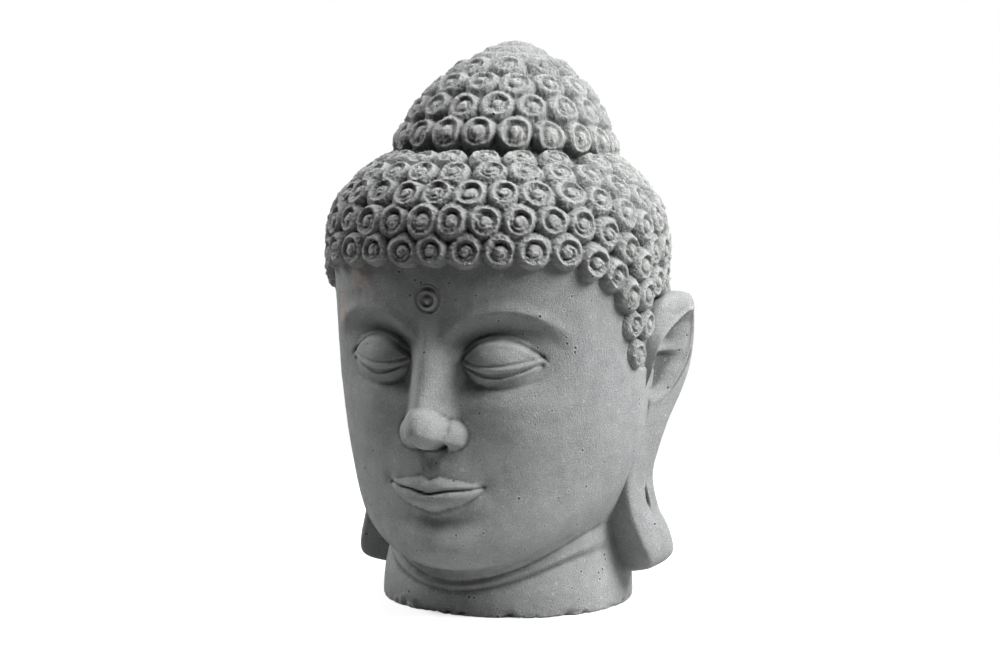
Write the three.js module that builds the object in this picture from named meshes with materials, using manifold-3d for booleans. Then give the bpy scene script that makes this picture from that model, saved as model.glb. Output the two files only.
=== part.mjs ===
// A carved stone Buddha head, cut flat below the neck so that it stands on its own underside.
// Millimetres, +Z up. The face looks along -Y and the head's own left side is +X.
// The origin is the middle of the flat underside.
// The whole head is one block of stone, so every form below is joined into one closed solid.

import * as THREE from "three";
import { mergeVertices } from "three/addons/utils/BufferGeometryUtils.js";
import Module from "manifold-3d";

const wasm = await Module();
wasm.setup();

// ---------------------------------------------------------------- driving dimensions

const HEIGHT = 500; // underside to the tip of the topknot
const UNIT = HEIGHT / 22; // neck 2 units, face 12, hair 4, topknot 4
const STONE_COLOUR = 0x74777a;

// All the sizes from here on are in units of UNIT, and only the finished solid is scaled.

const CHIN = 2;
const CROWN = 18;
const FACE_THIRD = 4.706; // hair to brow, brow to nose, nose to chin
const EYES = (CHIN + CROWN) / 2; // the halfway line of the head without its topknot
const NOSE = CHIN + FACE_THIRD;
const MOUTH = NOSE - FACE_THIRD / 3;

const CURL_RADIUS = 0.66;
const CURL_HEIGHT = 0.52;
const CURL_SIDES = 5;
const ROW_PITCH = 1.03; // from row to row
const HAIR_ROWS = 12;
const HAIR_LEVEL = 14; // height of the first row of curls over the forehead
const NAPE_DROP = 7 * ROW_PITCH; // how far the rows come down behind the ears
const RIGHT_SIDEBURN_BACK = 8; // degrees by which the right sideburn sits further back

// Step along a row of curls, and the share of a step by which its first curl is off the middle.
const FRONT_ROWS = [[1.2, 0.25], [1.18, 0.85], [1.23, 0.15], [1.27, 0.45], [1.3, 0]];
const BACK_ROWS = [[1.25, 0.5], [1.25, 0]];

// ---------------------------------------------------------------- small helpers

const degrees = Math.PI / 180;
const clamp = (value, low, high) => Math.min(Math.max(value, low), high);
const bell = (value) => Math.exp(-value * value);
const sum = (list) => list.reduce((total, value) => total + value, 0);

// 0 below 0, 1 above 1, and smooth between.
function step(value) {
  const t = clamp(value, 0, 1);
  return t * t * (3 - 2 * t);
}

// The higher of two forms, with the crease between them rounded over the given width.
function softMax(a, b, width) {
  const share = clamp(0.5 + (0.5 * (a - b)) / width, 0, 1);
  return b + (a - b) * share + width * share * (1 - share);
}

const softMin = (a, b, width) => -softMax(-a, -b, width);

// A smooth curve through a list of equal-length rows, read at place t from 0 to the last row.
function along(rows, t) {
  const last = rows.length - 1;
  const i = clamp(Math.floor(t), 0, last - 1);
  const f = t - i;
  return rows[0].map((_, column) => {
    const at = (row) => rows[row][column];
    const b = at(i);
    const c = at(i + 1);
    const a = i > 0 ? at(i - 1) : 2 * b - c;
    const d = i < last - 1 ? at(i + 2) : 2 * c - b;
    const cubic = 3 * (b - c) + d - a;
    return 0.5 * (2 * b + (c - a) * f + (2 * a - 5 * b + 4 * c - d) * f ** 2 + cubic * f ** 3);
  });
}

// Places spread over a span, closer together near its start when crowding is under 1.
function spread(start, end, count, crowding = 1) {
  const places = [];
  for (let i = 0; i <= count; i++) {
    const u = i / count;
    places.push(start + (end - start) * (crowding * u + (1 - crowding) * u ** 2.2));
  }
  return places;
}

// A closed mesh from rings of points that close on themselves, with a point at each end.
function closedLoft(first, rings, last) {
  const sides = rings[0].length;
  const points = [first, ...rings.flat(), last];
  const faces = [];
  const at = (ring, side) => 1 + ring * sides + (side % sides);
  for (let side = 0; side < sides; side++) {
    faces.push(0, at(0, side + 1), at(0, side));
    faces.push(points.length - 1, at(rings.length - 1, side), at(rings.length - 1, side + 1));
    for (let ring = 0; ring < rings.length - 1; ring++) {
      const [a, b] = [at(ring, side), at(ring, side + 1)];
      const [c, d] = [at(ring + 1, side), at(ring + 1, side + 1)];
      if (side < sides / 2) faces.push(a, b, d, a, d, c);
      else faces.push(a, b, c, c, b, d);
    }
  }
  const geometry = new THREE.BufferGeometry();
  geometry.setAttribute("position", new THREE.Float32BufferAttribute(points.flat(), 3));
  geometry.setIndex(faces);
  return geometry;
}

// A three.js geometry as a manifold-3d solid.
function solid(geometry) {
  const bare = geometry.clone();
  bare.deleteAttribute("normal");
  bare.deleteAttribute("uv");
  const merged = mergeVertices(bare, 1e-5);
  const vertProperties = merged.attributes.position.array;
  const triVerts = new Uint32Array(merged.index.array);
  return new wasm.Manifold(new wasm.Mesh({ numProp: 3, vertProperties, triVerts }));
}

// A manifold-3d solid as a three.js geometry.
function geometryOf(made) {
  const mesh = made.getMesh();
  const geometry = new THREE.BufferGeometry();
  geometry.setAttribute("position", new THREE.BufferAttribute(mesh.vertProperties, 3));
  geometry.setIndex(new THREE.BufferAttribute(mesh.triVerts, 1));
  geometry.computeVertexNormals();
  return geometry;
}

// ---------------------------------------------------------------- neck, face and skull

// Level rings from the underside to the crown:
// height at the front, side and back, half width, front y, back y, y of the widest place, squareness.
const HEAD_RINGS = [
  [0.0, 0.0, 0.0, 4.68, -4.4, 4.68, 0, 2.1], // edge of the underside
  [0.24, 0.24, 0.24, 4.98, -4.7, 4.98, 0, 2.1],
  [0.8, 1.1, 1.3, 4.93, -4.66, 4.93, 0, 2.1], // neck
  [1.45, 2.4, 3.0, 4.74, -4.45, 4.85, 0, 2.1], // throat
  [1.8, 3.45, 4.6, 4.75, -4.85, 4.85, -0.1, 2.08], // under the jaw
  [2.08, 4.15, 5.9, 5.12, -5.85, 4.95, -0.3, 2.03], // edge of the jaw
  [2.9, 5.05, 7.1, 5.52, -6.52, 5.2, -0.5, 2.02], // chin
  [5.0, 6.35, 8.4, 5.84, -6.64, 5.3, -0.7, 2.03], // mouth
  [6.7, 7.6, 9.5, 6.0, -6.74, 5.36, -0.8, 2.08], // base of the nose
  [8.4, 8.95, 10.5, 6.07, -6.88, 5.4, -0.9, 2.15], // cheeks
  [10.0, 10.3, 11.4, 6.12, -7.02, 5.4, -0.9, 2.18], // eyes
  [11.4, 11.5, 12.2, 6.18, -7.16, 5.4, -0.9, 2.17], // brow
  [12.8, 12.8, 13.1, 6.26, -7.28, 5.38, -0.9, 2.16], // forehead
  [14.0, 14.0, 14.1, 6.3, -7.3, 5.32, -0.9, 2.16], // first row of curls
  [15.2, 15.2, 15.2, 6.14, -7.14, 5.15, -0.9, 2.13],
  [16.1, 16.1, 16.1, 5.6, -6.6, 4.6, -0.85, 2.1],
  [16.8, 16.8, 16.7, 4.95, -5.85, 4.0, -0.75, 2.05],
  [17.3, 17.3, 17.2, 4.05, -4.7, 3.3, -0.6, 2.0], // foot of the topknot
  [17.6, 17.6, 17.5, 2.4, -3.0, 1.8, -0.5, 2.0],
];
const CHIN_RING = 6;
const BURIED = -9; // well inside the head
const BROW_RING = 11.4;
const HAIR_RING = 13;
const CREASE_RING = 16.8; // where the skull meets the topknot
const LAST_RING = HEAD_RINGS.length - 1;
const MIDDLE_Y = -0.9; // middle of the skull, front to back

// The point of the bare head at an angle round from the front and a place up the rings.
function headPoint(angle, place) {
  const [front, side, back, width, frontY, backY, middleY, square] = along(HEAD_RINGS, place);
  const s = Math.sin(angle);
  const c = Math.cos(angle);
  const depth = c > 0 ? middleY - frontY : backY - middleY;
  const radius = (Math.abs(s / width) ** square + Math.abs(c / depth) ** square) ** (-1 / square);
  const height = side + ((c > 0 ? front : back) - side) * c * c;
  return [radius * s, middleY - radius * c, height];
}

// The hollow under the brow, the crest of the brow, the cheek, the muzzle and the chin.
function faceGround(x, z) {
  const browLine = 11.8 - (x < 2.9 ? 0.17 : 0.24) * (x - 2.9) ** 2;
  const under = browLine - z;
  const deep = 0.55 * bell((x - 1.2) / 1.5) + 0.36 * bell((x - 3.2) / 1.3);
  const hollow = -deep * step(under / 0.8) * step((z - 8.2) / 1.7) * step((5.5 - x) / 1.3);
  const crest = 0.09 * bell(under / 0.25) * step((x - 0.2) / 0.8) * step((5.2 - x) / 1.4);
  const cheek = 0.22 * bell((x - 3.1) / 1.5) * bell((z - 7.3) / 1.7);
  const muzzle = 0.4 * bell(x / 1.9) * bell((z - 5.35) / 1.35);
  const chin = 0.45 * bell(x / 1.35) * bell((z - 3.05) / 0.8);
  const chinGroove = -0.22 * bell(x / 1.2) * bell((z - 4.02) / 0.34);
  return sum([hollow, crest, cheek, muzzle, chin, chinGroove]);
}

// The eyeball, covered by the lowered upper lid down to its edge.
function eyeForm(x, z) {
  const inside = 1 - ((x - 2.5) / 1.45) ** 2 - ((z - EYES + 0.08) / 1.02) ** 2;
  if (inside <= 0) return BURIED;
  const lidEdge = 9.58 + 0.22 * ((x - 2.5) / 1.3) ** 2;
  const lid = 0.14 * step((z - lidEdge) / 0.3 + 0.5);
  return -0.92 + 1.02 * Math.sqrt(inside) + lid;
}

// The ridge, tip and wings of the nose, cut off along its underside.
function noseForm(x, z) {
  if (z < NOSE - 0.5) return BURIED;
  const down = (11.5 - z) / (11.5 - 7.45);
  const low = clamp(down, 0, 1);
  const round = 0.34 + 0.06 * low;
  const ridge = -0.06 + 1.62 * Math.min(down, 1.2);
  const sides = ridge - (1.05 + 0.95 * low) * (Math.hypot(x, round) - round);
  const underside = 0.15 + 3 * (z - NOSE - 0.15);
  const ball = (foot, forward, middle, width, level, height) => {
    const inside = 1 - ((x - middle) / width) ** 2 - ((z - level) / height) ** 2;
    return inside > 0 ? foot + forward * Math.sqrt(inside) : BURIED;
  };
  const tip = ball(0.55, 1.3, 0, 0.76, 7.4, 0.64);
  const wing = ball(-0.12, 0.88, 0.88, 0.46, 7.18, 0.5);
  return softMax(softMax(softMin(sides, underside, 0.3), tip, 0.45), wing, 0.42);
}

// The two lips, which meet in a line that rises towards the corners.
function lipRelief(x, z) {
  const half = 1.9;
  const open = Math.max(0, 1 - (x / half) ** 2);
  if (open === 0) return 0;
  const line = MOUTH + 0.17 * (x / half) ** 2;
  const upper = (z - line) / (0.5 * open ** 0.75 + 0.02);
  const lower = (line - z) / (0.72 * open ** 0.65 + 0.02);
  const full = open ** 0.6;
  if (upper >= 0 && upper < 1) return 0.28 * full * (1 - (2 * upper - 0.76) ** 2 / 1.7);
  if (lower > 0 && lower < 1) return 0.36 * full * (1 - (2 * lower - 0.84) ** 2 / 1.5);
  return 0;
}

// How far the face stands forward of the bare head at one spot.
function reliefAt(acrossX, z) {
  const x = Math.abs(acrossX);
  const withEyes = softMax(faceGround(x, z), eyeForm(x, z), 0.34);
  const withNose = softMax(withEyes, noseForm(x, z), 0.28);
  return (withNose + lipRelief(x, z)) * step(5.6 - x);
}

// The same, averaged over the spots around, so that its edges keep clear of the coarse facets.
function faceRelief(x, z) {
  const offsets = [[-0.17, 0.25], [0, 0.5], [0.17, 0.25]];
  return sum(offsets.flatMap(([dx, a]) => offsets.map(([dz, b]) => a * b * reliefAt(x + dx, z + dz))));
}

// Places of the neck's rings in front and beside the ears, and how deep the skin is drawn in there.
// The two creases of the throat are lowest a little to the right of the front.
const NECK_RINGS = [
  [0, 0, 0],
  [1, 1, 0],
  [1.6, 1.9, 0],
  [1.95, 2.75, 0.04],
  [2.15, 3.05, -0.15], // lower crease
  [2.35, 3.35, 0.05],
  [2.6, 3.95, -0.13], // upper crease
  [2.85, 4.2, 0.04],
  [3.5, 4.5, 0],
  [4.3, 5.1, 0],
  [5.2, 5.5, 0],
];
const CREASES_LOWEST = -10 * degrees;

// A ring of the neck at an angle: its place, and how far the skin stands out there.
function neckRing(angle, [front, side, relief]) {
  const around = Math.acos(Math.cos(angle - CREASES_LOWEST)) / degrees;
  const place = front + (side - front) * step(around / 75);
  return [place, relief * step((100 - around) / 35)];
}

// True where the hair covers the bare head.
function underHair(angle, place) {
  return place > readAt(hair.tables, angle, rowLength(angle, 0.35))[1];
}

function headForm() {
  const half = [...spread(0, 38, 10), ...spread(38, 90, 6).slice(1), ...spread(90, 180, 4).slice(1)];
  const angles = [...half, ...half.slice(1, -1).map((angle) => 360 - angle).reverse()];
  const facePlaces = [
    ...spread(CHIN_RING, BROW_RING, 25),
    ...spread(BROW_RING, HAIR_RING, 3).slice(1),
  ];
  const ringsOf = [...NECK_RINGS, ...facePlaces.map((place) => [place, place, 0])];
  const rings = ringsOf.map((ring) =>
    angles.map((angle) => {
      const round = (angle > 180 ? angle - 360 : angle) * degrees;
      const [place, relief] = neckRing(round, ring);
      const [x, y, z] = headPoint(round, place);
      const moved = (distance) =>
        outOf(headPoint, round, place).multiplyScalar(distance).add({ x, y, z }).toArray();
      if (underHair(round, place)) return moved(-0.6);
      if (relief !== 0) return moved(relief);
      return [x, Math.cos(round) > 0 ? y - faceRelief(x, z) : y, z];
    }),
  );
  return closedLoft([0, 0, 0], rings, [0, -1, 15]);
}

// The urna between the brows: a low round boss with a raised ring and a knob in it.
function urnaForm() {
  const profile = [[0, -0.5], [0.46, -0.5], [0.46, 0], [0.3, 0.15], [0.2, 0.05], [0, 0.17]];
  const level = 12.22;
  const front = along(HEAD_RINGS, 11 + (level - 11.4) / 1.4)[4];
  const boss = new THREE.LatheGeometry(profile.map(([x, y]) => new THREE.Vector2(x, y)), 10);
  return boss.rotateX(Math.PI / 2).translate(0, front, level);
}

// ---------------------------------------------------------------- curls over a surface

// A table up a surface at one angle: length, place, and how far the flat map has shrunk by there.
function climb(pointAt, angle, start, end) {
  const rows = [[0, start, 0]];
  let before = new THREE.Vector3(...pointAt(angle, start));
  for (let place = start + 0.1; place <= end + 0.001; place += 0.1) {
    const here = new THREE.Vector3(...pointAt(angle, place));
    const [length, , shrink] = rows.at(-1);
    const moved = here.distanceTo(before);
    const round = Math.max(0.3, Math.hypot(here.x, here.y - MIDDLE_Y));
    rows.push([length + moved, place, shrink + moved / round]);
    before = here;
  }
  return rows;
}

// Tables for every degree, with lengths counted from the level where zeroAt says so.
function climbs(pointAt, start, end, zeroAt) {
  const tables = [];
  for (let degree = 0; degree <= 180; degree++) {
    const rows = climb(pointAt, degree * degrees, start, end);
    const [zero, , shrunk] = rows.findLast(([, place]) => zeroAt(degree * degrees, place));
    tables.push(rows.map(([length, place, shrink]) => [length - zero, place, shrink - shrunk]));
  }
  return tables;
}

// The row of a table at a length, or null outside it.
function readAt(tables, angle, length) {
  const turned = Math.abs(Math.atan2(Math.sin(angle), Math.cos(angle))) / degrees;
  const rows = tables[Math.round(turned)];
  const next = rows.findIndex(([distance]) => distance >= length);
  if (next < 1) return null;
  const [low, high] = [rows[next - 1], rows[next]];
  const share = (length - low[0]) / (high[0] - low[0]);
  return low.map((value, column) => value + (high[column] - value) * share);
}

// The direction out of a surface given by an angle and a place.
function outOf(pointAt, angle, place) {
  const nudge = 0.02;
  const at = (a, p) => new THREE.Vector3(...pointAt(a, p));
  const across = at(angle + nudge, place).sub(at(angle - nudge, place));
  const upward = at(angle, place + nudge).sub(at(angle, place - nudge));
  return across.cross(upward).normalize();
}

// A vertex over a surface, with its spot on a flat map that keeps small shapes undistorted.
function vertexOver({ pointAt, tables }, angle, length, height) {
  const found = readAt(tables, angle, length);
  if (!found) return null;
  const [, place, shrink] = found;
  const point = new THREE.Vector3(...pointAt(angle, place));
  point.addScaledVector(outOf(pointAt, angle, place), height);
  const radius = Math.exp(-shrink);
  return { point, angle, length, spot: [radius * Math.sin(angle), radius * Math.cos(angle)] };
}

// A regular ring of vertices round a spot of the surface.
function ringOver(surface, angle, length, radius, height, turned) {
  const middle = vertexOver(surface, angle, length, 0).point;
  const round = Math.max(0.3, Math.hypot(middle.x, middle.y - MIDDLE_Y));
  const ring = [];
  for (let side = 0; side < CURL_SIDES; side++) {
    const turn = ((side + turned) * 2 * Math.PI) / CURL_SIDES;
    const sideways = (radius * Math.cos(turn)) / round;
    ring.push(vertexOver(surface, angle + sideways, length + radius * Math.sin(turn), height));
  }
  return ring.filter((vertex) => vertex !== null);
}

// The circle through three spots, as its middle and the square of its radius.
function circleThrough([ax, ay], [bx, by], [cx, cy]) {
  const d = 2 * (ax * (by - cy) + bx * (cy - ay) + cx * (ay - by));
  const [a2, b2, c2] = [ax * ax + ay * ay, bx * bx + by * by, cx * cx + cy * cy];
  const x = (a2 * (by - cy) + b2 * (cy - ay) + c2 * (ay - by)) / d;
  const y = (a2 * (cx - bx) + b2 * (ax - cx) + c2 * (bx - ax)) / d;
  return { x, y, square: (ax - x) ** 2 + (ay - y) ** 2 };
}

// Joins scattered spots of a flat map into triangles, as even as they can be.
function triangulate(spots) {
  const all = [...spots, [-90, -90], [90, -90], [0, 90]];
  const count = spots.length;
  const make = (a, b, c) => ({ a, b, c, ...circleThrough(all[a], all[b], all[c]) });
  let triangles = [make(count, count + 1, count + 2)];
  for (let i = 0; i < count; i++) {
    const [x, y] = all[i];
    const rim = new Map();
    const kept = [];
    for (const triangle of triangles) {
      if ((triangle.x - x) ** 2 + (triangle.y - y) ** 2 > triangle.square) {
        kept.push(triangle);
        continue;
      }
      const { a, b, c } = triangle;
      for (const [from, to] of [[a, b], [b, c], [c, a]]) {
        if (!rim.delete(`${to},${from}`)) rim.set(`${from},${to}`, [from, to]);
      }
    }
    for (const [from, to] of rim.values()) kept.push(make(from, to, i));
    triangles = kept;
  }
  return triangles.filter(({ a, b, c }) => Math.max(a, b, c) < count).map(({ a, b, c }) => [a, b, c]);
}

// The topmost vertex of a surface, at the middle of the flat map.
const summitAt = (point) => ({ point: new THREE.Vector3(...point), angle: 0, length: 99, spot: [0, 0] });

// A closed solid whose skin is a surface covered in curls, from its edge line to its cap.
function curledSolid(surface, curls, edgeLength, cap, middle) {
  const vertices = [];
  for (let degree = -180; degree < 180; degree += 5) {
    const angle = degree * degrees;
    vertices.push(vertexOver(surface, angle, edgeLength(angle), -0.25));
  }
  const near = (vertex, others, distance) =>
    others.some(({ point }) => point.distanceTo(vertex.point) < distance);
  const hollows = [];
  const tops = [];
  for (const [angle, length, share] of curls) {
    const height = CURL_HEIGHT * share;
    tops.push(vertexOver(surface, angle, length, height));
    vertices.push(...ringOver(surface, angle, length, CURL_RADIUS * 0.72, height * 0.75, 0));
    for (const vertex of ringOver(surface, angle, length, CURL_RADIUS * 1.08, 0, 0.5)) {
      const inside = vertex.length > edgeLength(vertex.angle) + 0.15;
      if (inside && !near(vertex, hollows, 0.45)) hollows.push(vertex);
    }
  }
  const clear = hollows.filter((vertex) => !near(vertex, tops, CURL_RADIUS * 0.95));
  vertices.push(...tops, ...clear, ...cap);
  // A spot is shifted by less than a hair, so that no four lie on one exact circle.
  const nudge = 1e-6;
  const spots = vertices.map(({ spot: [x, y] }, i) => [
    x + nudge * Math.sin(i * 7),
    y + nudge * Math.cos(i * 5),
  ]);
  const within = ([a, b, c]) => {
    const x = (spots[a][0] + spots[b][0] + spots[c][0]) / 3;
    const y = (spots[a][1] + spots[b][1] + spots[c][1]) / 3;
    const angle = Math.atan2(x, y);
    const edge = vertexOver(surface, angle, edgeLength(angle), 0);
    return Math.hypot(x, y) < Math.hypot(...edge.spot);
  };
  const skin = triangulate(spots).filter(within);
  const rim = new Map();
  for (const [a, b, c] of skin) {
    for (const [from, to] of [[a, b], [b, c], [c, a]]) {
      if (!rim.delete(`${to},${from}`)) rim.set(`${from},${to}`, [from, to]);
    }
  }
  const points = [...vertices.map(({ point }) => point.toArray()), middle];
  const faces = skin.map(([a, b, c]) => [a, c, b]);
  for (const [from, to] of rim.values()) faces.push([from, to, points.length - 1]);
  const geometry = new THREE.BufferGeometry();
  geometry.setAttribute("position", new THREE.Float32BufferAttribute(points.flat(), 3));
  geometry.setIndex(faces.flat());
  return geometry;
}

// ---------------------------------------------------------------- hair

const hair = {
  pointAt: headPoint,
  tables: climbs(headPoint, CHIN_RING - 2, LAST_RING, (a, p) => headPoint(a, p)[2] <= HAIR_LEVEL),
};

// How far a row, counted from the edge of the hair, has come down towards the nape.
function comeDown(angle, row) {
  const round = Math.abs(angle) / degrees;
  const front = 77.5 + 7 * row + (angle < 0 ? RIGHT_SIDEBURN_BACK : 0);
  const temple = 0.17 * step((round - 4 * row - 42) / 36);
  const sideburn = 0.5 / (1 + Math.exp((front - round) / 2.5));
  const behind = 0.33 / (1 + Math.exp((114 + 10 * row - round) / 3));
  return NAPE_DROP * (temple + sideburn + behind);
}

const rowLength = (angle, row) => row * ROW_PITCH - comeDown(angle, row);

// The angles of one row of curls, at even steps along the part of it below the topknot.
function hairRow(row) {
  const [pitch, phase] = FRONT_ROWS[row] ?? BACK_ROWS[row % 2];
  const line = [];
  for (let degree = -180; degree <= 180; degree += 0.5) {
    const angle = degree * degrees;
    const here = vertexOver(hair, angle, rowLength(angle, row), 0);
    const open = here !== null && readAt(hair.tables, angle, here.length)[1] <= CREASE_RING - 0.1;
    const before = line.at(-1);
    const moved = open && before?.open ? here.point.distanceTo(before.point) : 0;
    line.push({ angle, open, point: here?.point, run: (before?.run ?? 0) + moved });
  }
  const total = line.at(-1).run;
  if (total < pitch) return [];
  const count = Math.round(total / pitch);
  const middle = line.find(({ angle }) => angle >= 0).run;
  const first = ((middle * count) / total + phase) % 1;
  const curls = [];
  for (let i = 0; i < count; i++) {
    const wanted = ((i + first) * total) / count;
    const next = Math.max(1, line.findIndex(({ run }) => run >= wanted));
    const [low, high] = [line[next - 1], line[next]];
    const share = (wanted - low.run) / Math.max(high.run - low.run, 0.001);
    curls.push(low.angle + (high.angle - low.angle) * clamp(share, 0, 1));
  }
  return curls;
}

// True where the ear covers the hair, or where the skin beside it is bare.
function underEar({ x, y, z }) {
  const beside = y > -1.05 && y < 1.9 && z < 12.1;
  const below = y < 1.9 && z < 9.6;
  return Math.abs(x) > 4 && (beside || below);
}

function hairForm() {
  const curls = [];
  for (let row = 0; row < HAIR_ROWS; row++) {
    for (const angle of hairRow(row)) {
      const length = rowLength(angle, row);
      const here = vertexOver(hair, angle, length, 0);
      if (here && !underEar(here.point)) curls.push([angle, length, 1]);
    }
  }
  const edge = (angle) => rowLength(angle, -0.65);
  return curledSolid(hair, curls, edge, [summitAt([0, -0.6, 17.2])], [0, -1, 12.5]);
}

// ---------------------------------------------------------------- topknot

// Radius and height up the topknot, from inside the skull to the tip.
const TOPKNOT = [
  [4.0, 16.6],
  [4.05, 17.4],
  [4.1, 17.9],
  [3.9, 18.35],
  [3.68, 18.9],
  [3.36, 19.5],
  [2.92, 20.07],
  [2.45, 20.55],
  [2.08, 20.95],
  [1.72, 21.28],
  [1.05, 21.72],
  [0.42, 21.99],
];
const TOPKNOT_FOOT = 17.4;
const TOPKNOT_TILT = 5 * degrees; // it sits a little towards the back
const TOPKNOT_LEAN = 0.12;
const TOPKNOT_Y = -0.2;
const TOPKNOT_TIP = 22.067; // before it is leaned and tilted

// Length up the topknot, number of curls, first curl's share of a step and height share.
const TOPKNOT_ROWS = [[1.33, 20, 0.5, 1], [2.5, 18, 0.8, 0.9], [3.61, 15, 0.1, 0.75], [4.8, 11, 0.6, 0.5]];
const CAP_RING = [6.1, 8]; // length up the topknot and number of vertices of its plain cap

// A point of the upright topknot, leaned and tilted into its place.
function topknotPlace([x, y, z]) {
  const up = z - TOPKNOT_FOOT;
  const leaned = y + TOPKNOT_LEAN * up;
  const tilted = leaned * Math.cos(TOPKNOT_TILT) + up * Math.sin(TOPKNOT_TILT);
  const height = up * Math.cos(TOPKNOT_TILT) - leaned * Math.sin(TOPKNOT_TILT);
  return [x, TOPKNOT_Y + tilted, TOPKNOT_FOOT + height];
}

function topknotPoint(angle, place) {
  const [radius, height] = along(TOPKNOT, place);
  return topknotPlace([radius * Math.sin(angle), -radius * Math.cos(angle), height]);
}

function topknotForm() {
  const surface = {
    pointAt: topknotPoint,
    tables: climbs(topknotPoint, 0, TOPKNOT.length - 1, (angle, place) => place <= 0.05),
  };
  const curls = [];
  for (const [length, count, phase, share] of TOPKNOT_ROWS) {
    for (let i = 0; i < count; i++) curls.push([(2 * Math.PI * (i + phase)) / count, length, share]);
  }
  const [tip, inside] = [TOPKNOT_TIP, 17].map((height) => topknotPlace([0, 0, height]));
  const [capLength, sides] = CAP_RING;
  const cap = [summitAt(tip)];
  for (let i = 0; i < sides; i++) cap.push(vertexOver(surface, (2 * Math.PI * i) / sides, capLength, 0));
  return curledSolid(surface, curls, () => 0.2, cap, inside);
}

// ---------------------------------------------------------------- ears

// Level slices of the left ear from its top to the bottom of its lobe:
// height, front edge x and y, back edge x and y, thickness.
const EAR_SLICES = [
  [12.06, 6.4, 0.3, 7.02, 1.68, 1.15],
  [11.75, 6.38, -0.05, 7.3, 2.02, 1.3],
  [10.8, 6.28, -0.42, 7.38, 2.1, 1.3],
  [9.45, 6.2, -0.6, 7.26, 1.9, 1.25],
  [8.3, 6.08, -0.8, 7.0, 1.47, 1.2],
  [7.2, 5.92, -1.05, 6.6, 0.95, 1.2],
  [6.1, 5.7, -1.28, 6.3, 0.65, 1.35],
  [5.0, 5.6, -1.3, 6.12, 0.5, 1.6],
  [3.9, 5.7, -1.18, 6.34, 0.52, 1.9],
  [3.0, 5.98, -0.92, 6.74, 0.74, 2.1],
  [2.25, 6.26, -0.66, 6.98, 0.78, 2.2],
  [1.78, 6.3, -0.5, 6.98, 0.66, 2.1],
];
const RIGHT_LOBE_DROP = 0.53; // the right lobe hangs a little lower
const RIGHT_LOBE_OUT = 0.2; // and further out
const LOBE_SLANT = 0.9; // how much the lobe's underside rises outwards and backwards
const EAR_PROUD = 0.09; // the outer face stands out by this, to reach the carved rims

// Relief of the ear's outer face: the broad front rim slopes up to the edge of an almond hollow,
// which is deeper below the ledge that crosses it.
function earRelief(across, z) {
  const t = clamp((z - 8) / 3.75, 0, 1);
  const front = 0.1 + 0.06 * (1 - t) ** 2 + 0.66 * t ** 4;
  const back = 0.93 - 0.4 * (1 - t) ** 3;
  const ends = step((z - 7.9) / 0.5) * step((11.85 - z) / 0.3);
  const inside = step((across - front) / 0.24) * step((back - across) / 0.1);
  const depth = 0.34 + 0.24 * step((9.9 - z) / 0.14);
  const slope = across < front ? across / front : 1 - step((across - front) / 0.5);
  return (0.17 * clamp(slope, 0, 1) - depth * inside) * ends;
}

// Angles round a slice: the front face, the carved outer face, the back face and the inner one.
const EAR_TURNS = [-45, 0, 45, 57, 66, 75, 86, 98, 109, 118, 126, 135, 180, 225, 270];

function earForm(side) {
  const places = [0.1, 0.45, 0.9, 1.4, 1.9, 2.4, 2.9, 3.5, 4.3, 5.4, 6.6, 7.8, 8.8, 9.7, 10.4, 10.85];
  const last = EAR_SLICES.length - 1;
  const slice = (place) => {
    const [level, frontX, frontY, backX, backY, thickness] = along(EAR_SLICES, place);
    const end = (1 - Math.abs((2 * place) / last - 1) ** 8) ** (1 / 3);
    const chord = new THREE.Vector2(backX - frontX, backY - frontY);
    const half = chord.length() / 2;
    const back = chord.clone().normalize();
    const out = new THREE.Vector2(back.y, -back.x);
    const middle = new THREE.Vector2(frontX + backX, frontY + backY).multiplyScalar(0.5);
    middle.addScaledVector(out, EAR_PROUD - thickness / 2);
    return { level, end, half, back, out, middle, thickness };
  };
  const hang = (level) => (side > 0 ? 0 : step((6 - level) / 4));
  const drop = (level) => RIGHT_LOBE_DROP * hang(level);
  const rings = places.map((place) => {
    const { level, end, half, back, out, middle, thickness } = slice(place);
    return EAR_TURNS.map((turn) => {
      const power = 3.2 + 3.8 * step((6.2 - level) / 2.2);
      let c = -Math.cos(turn * degrees);
      let s = Math.sin(turn * degrees);
      const roundOff = (Math.abs(c) ** power + Math.abs(s) ** power) ** (-1 / power);
      c *= roundOff;
      s *= roundOff;
      const relief = earRelief(c / 2 + 0.5, level) * step((s - 0.5) / 0.3);
      const forward = c * half * end;
      const at = middle.clone().addScaledVector(back, forward);
      at.addScaledVector(out, (s * thickness * end) / 2 + relief);
      const slant = LOBE_SLANT * step((5 - level) / 3) * (0.3 * (s * end - 1) + 0.2 * (c * end - 1));
      return [side * (at.x + RIGHT_LOBE_OUT * hang(level)), at.y, level + slant - drop(level)];
    });
  });
  const point = (place) => {
    const { level, middle } = slice(place);
    const slant = place > 1 ? -LOBE_SLANT / 2 : 0;
    return [side * (middle.x + RIGHT_LOBE_OUT * hang(level)), middle.y, level + slant - drop(level)];
  };
  const loops = side < 0 ? rings : rings.map((ring) => [...ring].reverse());
  return closedLoft(point(0), loops, point(last));
}

// ---------------------------------------------------------------- the head

function buildHead() {
  const forms = [headForm(), urnaForm(), hairForm(), topknotForm(), earForm(1), earForm(-1)];
  const joined = wasm.Manifold.union(forms.map(solid));
  const bodies = joined.decompose().sort((a, b) => b.volume() - a.volume());
  const scaled = bodies[0].scale(UNIT);
  const base = new THREE.MeshStandardMaterial({ color: STONE_COLOUR, roughness: 0.9, metalness: 0 });
  const head = new THREE.Mesh(geometryOf(scaled), base);
  head.name = "head";
  return head;
}

const buddhaHead = new THREE.Group();
buddhaHead.add(buildHead());

export default buddhaHead;
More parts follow.
